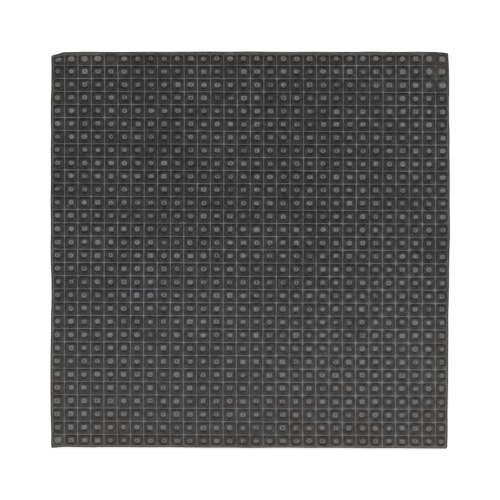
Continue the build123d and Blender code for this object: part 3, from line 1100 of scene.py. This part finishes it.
# ---------------------------------------------------------------- shader tools
class Wiring:
    """Adds nodes to one node tree and joins them."""

    def __init__(self, tree: bpy.types.NodeTree) -> None:
        """Starts on an existing tree."""
        self.tree = tree

    def add(self, kind: str, **settings: object) -> Node:
        """Adds a node of a kind, with its properties set."""
        node = self.tree.nodes.new(kind)
        for key, value in settings.items():
            setattr(node, key, value)
        return node

    def feed(self, socket: Socket, value: object) -> None:
        """Joins a socket to another one, or sets it to a plain value."""
        if isinstance(value, Socket):
            self.tree.links.new(value, socket)
        else:
            socket.default_value = value

    def place(self) -> Socket:
        """The piece's own coordinates, in metres."""
        return self.add("ShaderNodeTexCoord").outputs["Object"]

    def stretched(self, vector: Socket, scale: tuple[float, float, float]) -> Socket:
        """The coordinates times a scale for each axis."""
        node = self.add("ShaderNodeMapping")
        self.feed(node.inputs["Vector"], vector)
        node.inputs["Scale"].default_value = scale
        return node.outputs["Vector"]

    def noise(
        self, vector: Socket, scale: object, detail: float = 3.0, rough: float = 0.55
    ) -> Node:
        """Adds noise over a vector; its outputs are Fac and Color."""
        node = self.add("ShaderNodeTexNoise")
        for key, value in {"Vector": vector, "Scale": scale, "Detail": detail, "Roughness": rough}.items():
            self.feed(node.inputs[key], value)
        return node

    def cells(self, vector: Socket, scale: object) -> Node:
        """Adds Voronoi cells; its outputs are Distance, Color and Position."""
        node = self.add("ShaderNodeTexVoronoi")
        self.feed(node.inputs["Vector"], vector)
        self.feed(node.inputs["Scale"], scale)
        return node

    def spread(self, value: object, low: float, high: float, to: Range = (0.0, 1.0)) -> Socket:
        """Maps low to high onto another range, clamped."""
        node = self.add("ShaderNodeMapRange")
        for key, item in zip(("Value", "From Min", "From Max", "To Min", "To Max"), (value, low, high, *to)):
            self.feed(node.inputs[key], item)
        return node.outputs["Result"]

    def compute(self, operation: str, first: object, second: object = 0.0, clamp: bool = False) -> Socket:
        """One arithmetic step on one or two values."""
        node = self.add("ShaderNodeMath", operation=operation, use_clamp=clamp)
        self.feed(node.inputs[0], first)
        self.feed(node.inputs[1], second)
        return node.outputs[0]

    def times(self, first: object, second: object, clamp: bool = False) -> Socket:
        """The product of two values."""
        return self.compute("MULTIPLY", first, second, clamp)

    def plus(self, first: object, second: object, clamp: bool = False) -> Socket:
        """The sum of two values."""
        return self.compute("ADD", first, second, clamp)

    def blend(self, share: object, first: object, second: object) -> Socket:
        """Mixes two colours, from the first at 0 to the second at 1."""
        node = self.add("ShaderNodeMix", data_type="RGBA")
        for index, item in ((0, share), (6, first), (7, second)):
            self.feed(node.inputs[index], (*item, 1.0) if isinstance(item, tuple) else item)
        return node.outputs[2]


class Effect(Enum):
    """An effect that several finishes share, built once as a node group."""

    GRAIN = "Moulded grain"
    CLOUDS = "Cloudy tone"
    SPECKS = "Lint specks"
    STREAKS = "Drawn streaks"
    WEAVE = "Plain weave"
    FOAM = "Foam cells"
    CRINKLE = "Foil crinkle"


class EffectShelf:
    """Keeps the node groups of the shared effects.

    Each group takes a Scale, in features a metre, and puts out a Mask from 0 to 1 and a Height
    from 0 to 1; the lint specks take a Share of cells that hold a speck as well.
    """

    def __init__(self) -> None:
        """Starts with an empty shelf."""
        self.groups: dict[Effect, bpy.types.ShaderNodeTree] = {}

    def group(self, effect: Effect) -> bpy.types.ShaderNodeTree:
        """The effect's group, made at its first use.

        Args:
            effect: which effect.

        Returns:
            Its node tree.
        """
        if effect in self.groups:
            return self.groups[effect]
        tree = bpy.data.node_groups.new(effect.value, "ShaderNodeTree")
        tree.interface.new_socket("Scale", in_out="INPUT", socket_type="NodeSocketFloat")
        if effect is Effect.SPECKS:
            tree.interface.new_socket("Share", in_out="INPUT", socket_type="NodeSocketFloat")
        tree.interface.new_socket("Mask", in_out="OUTPUT", socket_type="NodeSocketFloat")
        tree.interface.new_socket("Height", in_out="OUTPUT", socket_type="NodeSocketFloat")
        wiring = Wiring(tree)
        given, result = wiring.add("NodeGroupInput"), wiring.add("NodeGroupOutput")
        maker = {
            Effect.GRAIN: self.grain,
            Effect.CLOUDS: self.clouds,
            Effect.SPECKS: self.specks,
            Effect.STREAKS: self.streaks,
            Effect.WEAVE: self.weave,
            Effect.FOAM: self.foam,
            Effect.CRINKLE: self.crinkle,
        }[effect]
        mask, height = maker(wiring, given)
        wiring.feed(result.inputs["Mask"], mask)
        wiring.feed(result.inputs["Height"], height)
        self.groups[effect] = tree
        return tree

    def grain(self, w: Wiring, given: Node) -> tuple[Socket, ...]:
        """Fine lumps with pits between them: noise times the distance to scattered points."""
        place, scale = w.place(), given.outputs["Scale"]
        lumps = w.noise(place, scale, 4.0, 0.6).outputs["Fac"]
        pits = w.spread(w.cells(place, w.times(scale, 1.7)).outputs["Distance"], 0.05, 0.45)
        return w.spread(lumps, 0.35, 0.65), w.times(lumps, pits)

    def clouds(self, w: Wiring, given: Node) -> tuple[Socket, ...]:
        """Soft patches: two sizes of noise, multiplied."""
        place, scale = w.place(), given.outputs["Scale"]
        wide = w.noise(place, scale, 2.0, 0.5).outputs["Fac"]
        near = w.noise(place, w.times(scale, 4.3), 3.0, 0.6).outputs["Fac"]
        both = w.times(wide, near)
        return w.spread(both, 0.15, 0.36), both

    def specks(self, w: Wiring, given: Node) -> tuple[Socket, ...]:
        """Small specks: the middles of those scattered cells whose random value is low enough."""
        cells = w.cells(w.place(), given.outputs["Scale"])
        near = w.spread(cells.outputs["Distance"], 0.03, 0.085, (1.0, 0.0))
        split = w.add("ShaderNodeSeparateColor")
        w.feed(split.inputs["Color"], cells.outputs["Color"])
        chosen = w.compute("LESS_THAN", split.outputs["Red"], given.outputs["Share"])
        mask = w.times(w.times(near, chosen), split.outputs["Green"])
        return mask, near

    def streaks(self, w: Wiring, given: Node) -> tuple[Socket, ...]:
        """Long marks along Y: noise that is stretched twenty times that way."""
        place, scale = w.place(), given.outputs["Scale"]
        drawn = w.noise(w.stretched(place, (1.0, 0.05, 1.0)), scale, 5.0, 0.7).outputs["Fac"]
        return w.spread(drawn, 0.35, 0.65), drawn

    def weave(self, w: Wiring, given: Node) -> tuple[Socket, ...]:
        """Over and under: the larger of two crossing sine ridges, with alternate ones raised."""
        axes = w.add("ShaderNodeSeparateXYZ")
        w.feed(axes.inputs["Vector"], w.place())
        turns = w.times(given.outputs["Scale"], math.pi)
        waves = [w.compute("SINE", w.times(axes.outputs[axis], turns)) for axis in ("X", "Y")]
        warp = w.compute("ABSOLUTE", waves[0])
        weft = w.compute("ABSOLUTE", waves[1])
        over = w.spread(w.times(waves[0], waves[1]), -0.4, 0.4)
        height = w.compute("MAXIMUM", w.times(warp, over), w.times(weft, 0.8))
        return over, height

    def foam(self, w: Wiring, given: Node) -> tuple[Socket, ...]:
        """Closed cells: deep in the middle of each scattered cell and high on its walls."""
        distance = w.cells(w.place(), given.outputs["Scale"]).outputs["Distance"]
        walls = w.spread(distance, 0.1, 0.6)
        return walls, walls

    def crinkle(self, w: Wiring, given: Node) -> tuple[Socket, ...]:
        """Sharp folds: noise folded about its middle."""
        raw = w.noise(w.place(), given.outputs["Scale"], 6.0, 0.5).outputs["Fac"]
        folds = w.compute("ABSOLUTE", w.compute("SUBTRACT", raw, 0.5))
        height = w.spread(folds, 0.0, 0.18, (1.0, 0.0))
        return height, height


SHELF = EffectShelf()


def use_effect(wiring: Wiring, effect: Effect, scale: float, share: float | None = None) -> Node:
    """Places a shared effect in a material.

    Args:
        wiring: the material's wiring.
        effect: which effect.
        scale: its features a metre.
        share: for specks, the share of cells that hold one.

    Returns:
        The group node, with outputs Mask and Height.
    """
    node = wiring.add("ShaderNodeGroup", node_tree=SHELF.group(effect))
    node.inputs["Scale"].default_value = scale
    if share is not None:
        node.inputs["Share"].default_value = share
    return node


def new_material(name: str) -> tuple[bpy.types.Material, Wiring, Node]:
    """Makes a material with a Principled shader.

    Args:
        name: the material's name.

    Returns:
        The material, its wiring and its shader node.
    """
    material = bpy.data.materials.new(name)
    material.use_nodes = True
    material.node_tree.nodes.clear()
    wiring = Wiring(material.node_tree)
    shader = wiring.add("ShaderNodeBsdfPrincipled")
    wiring.feed(wiring.add("ShaderNodeOutputMaterial").inputs["Surface"], shader.outputs["BSDF"])
    return material, wiring, shader


def bumped(
    wiring: Wiring, shader: Node, height: Socket, depth: float, strength: float
) -> None:
    """Gives a shader relief.

    Args:
        wiring: the material's wiring.
        shader: its Principled shader.
        height: the relief, from 0 to 1.
        depth: metres between 0 and 1.
        strength: how much of it shows.
    """
    bump = wiring.add("ShaderNodeBump")
    bump.inputs["Distance"].default_value = depth
    bump.inputs["Strength"].default_value = strength
    wiring.feed(bump.inputs["Height"], height)
    wiring.feed(shader.inputs["Normal"], bump.outputs["Normal"])


# ---------------------------------------------------------------- finishes
@dataclass(frozen=True)
class Finish:
    """A finish with two colours that a surface effect blends, and the relief of that effect."""

    name: str
    colour: Colour
    second: Colour
    effect: Effect
    scale: float
    depth: float
    rough: Range
    metallic: float = 0.0
    coat: float = 0.0
    specular: float = 0.5
    cloud_scale: float = 40.0
    dust: float = 0.0
    dust_colour: Colour = (0.16, 0.155, 0.14)
    grit_scale: float = 900.0
    grit_share: float = 0.35
    relief_strength: float = 0.6

    def build(self) -> bpy.types.Material:
        """Wires the finish.

        Returns:
            The material.
        """
        material, wiring, shader = new_material(self.name)
        surface = use_effect(wiring, self.effect, self.scale)
        clouds = use_effect(wiring, Effect.CLOUDS, self.cloud_scale).outputs["Mask"]
        share = wiring.times(surface.outputs["Mask"], wiring.spread(clouds, 0.0, 1.0, (0.5, 1.0)))
        colour = wiring.blend(share, self.colour, self.second)
        if self.dust:
            grit = use_effect(wiring, Effect.SPECKS, self.grit_scale, self.grit_share).outputs["Mask"]
            veil = wiring.plus(wiring.times(clouds, self.dust), wiring.times(grit, self.dust), True)
            colour = wiring.blend(veil, colour, self.dust_colour)
        wiring.feed(shader.inputs["Base Color"], colour)
        wiring.feed(shader.inputs["Roughness"], wiring.spread(share, 0.0, 1.0, self.rough))
        shader.inputs["Metallic"].default_value = self.metallic
        shader.inputs["Coat Weight"].default_value = self.coat
        shader.inputs["Specular IOR Level"].default_value = self.specular
        bumped(wiring, shader, surface.outputs["Height"], self.depth, self.relief_strength)
        return material


@dataclass(frozen=True)
class WaffleRubber:
    """Moulded black rubber whose high points are grey with dust and rubbed-off bloom."""

    name: str = "top_rubber"
    pocket: Colour = (0.0060, 0.0061, 0.0069)
    pocket_worn: Colour = (0.0310, 0.0307, 0.0308)
    dust_cool: Colour = (0.160, 0.161, 0.173)
    dust_warm: Colour = (0.177, 0.173, 0.162)
    lint: Colour = (0.42, 0.40, 0.36)
    soil: Colour = (0.036, 0.026, 0.018)
    soil_cover: float = 0.26
    specular: float = 0.20
    patch_scale: float = 22.0
    blotch_scale: float = 170.0
    powder_scale: float = 900.0
    lint_scale: float = 120.0
    lint_share: float = 0.16
    grain_scale: float = 1100.0
    grain_part: float = 0.35
    lump_scale: float = 260.0
    relief_depth: float = 0.0006
    relief_strength: float = 0.55

    def build(self) -> bpy.types.Material:
        """Wires the rubber: the dust attribute, broken up by noise, blends rubber into dust.

        Returns:
            The material.
        """
        material, wiring, shader = new_material(self.name)
        place = wiring.place()
        # the dust attribute also carries painted shadow in front of the nubs and a painted highlight on ribs
        # along X
        lying = wiring.add("ShaderNodeAttribute", attribute_name="dust").outputs["Fac"]
        patches = use_effect(wiring, Effect.CLOUDS, self.patch_scale).outputs["Mask"]
        blotches = wiring.noise(place, self.blotch_scale, 3.0, 0.6).outputs["Fac"]
        powder = wiring.noise(place, self.powder_scale, 3.0, 0.65).outputs["Fac"]
        coarse = wiring.spread(blotches, 0.25, 0.75, (0.72, 1.28))
        fine = wiring.spread(powder, 0.25, 0.75, (0.7, 1.3))
        uneven = wiring.times(coarse, fine)
        share = wiring.times(lying, uneven, True)
        rubber = wiring.blend(wiring.spread(blotches, 0.35, 0.7), self.pocket, self.pocket_worn)
        soiled = wiring.add("ShaderNodeAttribute", attribute_name="soil").outputs["Fac"]
        warmth = wiring.plus(soiled, wiring.spread(patches, 0.0, 1.0, (-0.12, 0.12)), True)
        dust = wiring.blend(warmth, self.dust_cool, self.dust_warm)
        colour = wiring.blend(share, rubber, dust)
        colour = wiring.blend(wiring.times(warmth, self.soil_cover), colour, self.soil)
        specks = use_effect(wiring, Effect.SPECKS, self.lint_scale, self.lint_share).outputs["Mask"]
        colour = wiring.blend(specks, colour, self.lint)
        wiring.feed(shader.inputs["Base Color"], colour)
        wiring.feed(shader.inputs["Roughness"], wiring.spread(share, 0.0, 0.8, (0.6, 0.92)))
        shader.inputs["Specular IOR Level"].default_value = self.specular
        grain = use_effect(wiring, Effect.GRAIN, self.grain_scale).outputs["Height"]
        lumps = wiring.noise(place, self.lump_scale, 3.0, 0.6).outputs["Fac"]
        height = wiring.plus(wiring.times(grain, self.grain_part), lumps)
        bumped(wiring, shader, height, self.relief_depth, self.relief_strength)
        return material


FINISH_LIST = (  # name, colour, second colour
    Finish(
        "base_rubber", (0.018, 0.018, 0.019), (0.036, 0.035, 0.034),
        Effect.GRAIN, scale=700.0, depth=0.0002, rough=(0.6, 0.85), dust=0.10,
    ),
    Finish(
        "edge_rubber", (0.013, 0.013, 0.013), (0.030, 0.029, 0.028),
        Effect.GRAIN, scale=420.0, depth=0.0003, rough=(0.55, 0.85), dust=0.07,
    ),
    Finish(
        "adhesive", (0.05, 0.046, 0.04), (0.09, 0.08, 0.065),
        Effect.GRAIN, scale=260.0, depth=0.0004, rough=(0.25, 0.45), coat=0.2,
    ),
    Finish(
        "socket_plastic", (0.017, 0.017, 0.018), (0.030, 0.030, 0.032),
        Effect.GRAIN, scale=1800.0, depth=0.00008, rough=(0.38, 0.6), dust=0.06,
    ),
    Finish(
        "seal_rubber", (0.30, 0.055, 0.03), (0.42, 0.10, 0.055),
        Effect.GRAIN, scale=900.0, depth=0.00006, rough=(0.35, 0.55),
    ),
    Finish(
        "contact_plastic", (0.03, 0.03, 0.033), (0.06, 0.06, 0.066),
        Effect.CLOUDS, scale=500.0, depth=0.00003, rough=(0.18, 0.32), coat=0.3,
    ),
    Finish(
        "pin_metal", (0.72, 0.56, 0.29), (0.88, 0.74, 0.46),
        Effect.STREAKS, scale=5000.0, depth=0.00002, rough=(0.16, 0.34), metallic=1.0,
    ),
    Finish(
        "crimp_metal", (0.60, 0.60, 0.58), (0.78, 0.78, 0.76),
        Effect.GRAIN, scale=1500.0, depth=0.00005, rough=(0.25, 0.45), metallic=1.0,
    ),
    Finish(
        "terminal_metal", (0.62, 0.47, 0.24), (0.80, 0.65, 0.38),
        Effect.STREAKS, scale=3000.0, depth=0.00003, rough=(0.22, 0.42), metallic=1.0,
    ),
    Finish(
        "cutout_plastic", (0.055, 0.032, 0.022), (0.12, 0.075, 0.05),
        Effect.GRAIN, scale=1400.0, depth=0.00006, rough=(0.35, 0.6),
    ),
    Finish(
        "cap_metal", (0.62, 0.63, 0.65), (0.80, 0.80, 0.82),
        Effect.STREAKS, scale=2600.0, depth=0.00002, rough=(0.2, 0.4), metallic=1.0,
    ),
    Finish(
        "fuse_metal", (0.60, 0.60, 0.62), (0.76, 0.76, 0.78),
        Effect.CLOUDS, scale=700.0, depth=0.00002, rough=(0.18, 0.36), metallic=1.0,
    ),
    Finish(
        "ribbon_metal", (0.42, 0.40, 0.37), (0.60, 0.57, 0.52),
        Effect.STREAKS, scale=2200.0, depth=0.00002, rough=(0.25, 0.45), metallic=1.0,
    ),
    Finish(
        "film", (0.62, 0.33, 0.08), (0.80, 0.48, 0.16),
        Effect.CLOUDS, scale=60.0, depth=0.0001, rough=(0.08, 0.22), coat=0.5,
    ),
    Finish(
        "foil", (0.72, 0.73, 0.74), (0.88, 0.88, 0.89),
        Effect.CRINKLE, scale=90.0, depth=0.0003, rough=(0.12, 0.32), metallic=1.0,
    ),
    Finish(
        "ply", (0.30, 0.29, 0.25), (0.56, 0.54, 0.49),
        Effect.WEAVE, scale=900.0, depth=0.0003, rough=(0.6, 0.85),
    ),
    Finish(
        "potting_resin", (0.018, 0.018, 0.019), (0.05, 0.05, 0.052),
        Effect.FOAM, scale=900.0, depth=0.00005, rough=(0.1, 0.3), coat=0.4,
    ),
    Finish(
        "foam", (0.06, 0.06, 0.066), (0.16, 0.16, 0.175),
        Effect.FOAM, scale=1400.0, depth=0.0003, rough=(0.75, 0.95),
    ),
)
FINISHES = {finish.name: finish for finish in FINISH_LIST}


class LeadColour(Enum):
    """The insulation colour of each lead inside the mat, plain and paler."""

    neutral_lead = ((0.62, 0.61, 0.58), (0.74, 0.73, 0.70))
    link_lead = ((0.36, 0.03, 0.02), (0.46, 0.06, 0.04))
    live_lead = ((0.02, 0.02, 0.022), (0.045, 0.045, 0.048))

    def finish(self) -> Finish:
        """The lead's finish: silicone insulation with a faint extruded grain."""
        plain, pale = self.value
        name = f"{self.name}_insulation"
        return Finish(name, plain, pale, Effect.GRAIN, scale=1200.0, depth=0.00008, rough=(0.35, 0.55))


@dataclass
class Dresser:
    """Gives every CAD node that stays in view, or inside, the finish of its slot."""

    finishes: dict[str, Finish]
    made: dict[str, bpy.types.Material] = field(default_factory=dict)

    def material(self, slot: str) -> bpy.types.Material:
        """The slot's material, made at its first use."""
        if slot not in self.made:
            self.made[slot] = self.finishes[slot].build()
        return self.made[slot]

    def dress(self, piece: bpy.types.Object, material: bpy.types.Material) -> None:
        """Makes a material the only one on a piece."""
        piece.data.materials.clear()
        piece.data.materials.append(material)

    def dress_nodes(self) -> None:
        """Dresses each CAD node by the slot that the record gives it."""
        slots = {part["node"]: part["material_slot"] for part in frame["record"]["subparts"]}
        for node, piece in frame["nodes"].items():
            if slots[node] == "lead_insulation":
                self.dress(piece, LeadColour[node].finish().build())
            elif slots[node] in self.finishes:
                self.dress(piece, self.material(slots[node]))
            log.info("dressed %s as %s", node, slots[node])


# ---------------------------------------------------------------- studio
@dataclass(frozen=True)
class Softbox:
    """A square soft light that faces the mat: its place and side in metres, its power in watts."""

    name: str
    place: tuple[float, float, float]
    side: float
    power: float

    def hang(self) -> None:
        """Hangs the light."""
        data = bpy.data.lights.new(self.name, "AREA")
        data.shape, data.size, data.energy = "SQUARE", self.side, self.power
        light = bpy.data.objects.new(self.name, data)
        light.location = self.place
        light.rotation_euler = (-Vector(self.place)).to_track_quat("-Z", "Y").to_euler()
        bpy.context.scene.collection.objects.link(light)


@dataclass(frozen=True)
class Studio:
    """A pale floor, soft light and a camera straight above the mat, in metres."""

    view_width: float = 0.6398
    height: float = 4.0
    sensor: float = 36.0
    centre: tuple[float, float] = (0.0, -0.0002)
    floor_side: float = 14.0
    floor_colour: Colour = (0.9, 0.9, 0.9)
    floor_glow: float = 0.35
    sky: float = 0.84
    softboxes: tuple[Softbox, ...] = (
        Softbox("back_softbox", (-0.6, 4.4, 4.6), side=2.0, power=170.0),
        Softbox("top_softbox", (0.0, 0.0, 5.0), side=2.4, power=50.0),
    )

    def camera(self, top: float) -> None:
        """Puts the camera straight above, square to the mat.

        Args:
            top: height of the mat's top, where the view is view_width across.
        """
        data = bpy.data.cameras.new("camera")
        data.sensor_width = self.sensor
        data.lens = self.sensor * self.height / self.view_width
        data.clip_start, data.clip_end = 0.1, 50.0
        camera = bpy.data.objects.new("camera", data)
        camera.location = (*self.centre, top + self.height)
        bpy.context.scene.collection.objects.link(camera)
        bpy.context.scene.camera = camera

    def floor(self) -> None:
        """Lays the floor that the mat rests on."""
        half = self.floor_side / 2
        corners = np.array([[-half, -half, 0.0], [half, -half, 0.0], [half, half, 0.0], [-half, half, 0.0]])
        floor = mesh_piece("studio_floor", corners, [np.array([[0, 1, 2, 3]])])
        material, _, shader = new_material("studio_floor")
        shader.inputs["Base Color"].default_value = (*self.floor_colour, 1.0)
        shader.inputs["Roughness"].default_value = 0.9
        shader.inputs["Specular IOR Level"].default_value = 0.1
        shader.inputs["Emission Color"].default_value = (1.0, 1.0, 1.0, 1.0)
        shader.inputs["Emission Strength"].default_value = self.floor_glow
        floor.data.materials.append(material)

    def sky_light(self) -> None:
        """Surrounds the mat with even white light."""
        world = bpy.data.worlds.new("sky")
        world.use_nodes = True
        background = world.node_tree.nodes["Background"]
        background.inputs["Color"].default_value = (1.0, 1.0, 1.0, 1.0)
        background.inputs["Strength"].default_value = self.sky
        bpy.context.scene.world = world

    def build(self, top: float) -> None:
        """Sets up the whole studio.

        Args:
            top: height of the mat's top.
        """
        self.camera(top)
        self.floor()
        self.sky_light()
        for softbox in self.softboxes:
            softbox.hang()
        bpy.context.scene.view_settings.view_transform = "Standard"


def main() -> None:
    """Builds the mat's visual pieces round the frame and reports each one."""
    logging.basicConfig(level=logging.INFO, format="%(name)s: %(message)s")
    sizes = MatSizes()
    wear = Wear(sizes)
    Studio().build(sizes.top * MM)
    dresser = Dresser(FINISHES)
    dresser.dress_nodes()
    for maker, node, slot, finish in (
        (WaffleSkin(sizes, wear), "top_cover", "top_rubber", WaffleRubber().build()),
        (EdgeBand(sizes, wear), "edge_frame", "edge_rubber", dresser.material("edge_rubber")),
        (BaseSheet(sizes, wear), "bottom_cover", "base_rubber", dresser.material("base_rubber")),
    ):
        piece = maker.build()
        dresser.dress(piece, finish)
        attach(piece, BODY)
        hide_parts(node)
        triangles = sum(len(face.vertices) - 2 for face in piece.data.polygons)
        log.info("built %s in place of %s: %d triangles", piece.name, node, triangles)


if __name__ == "__main__":
    main()
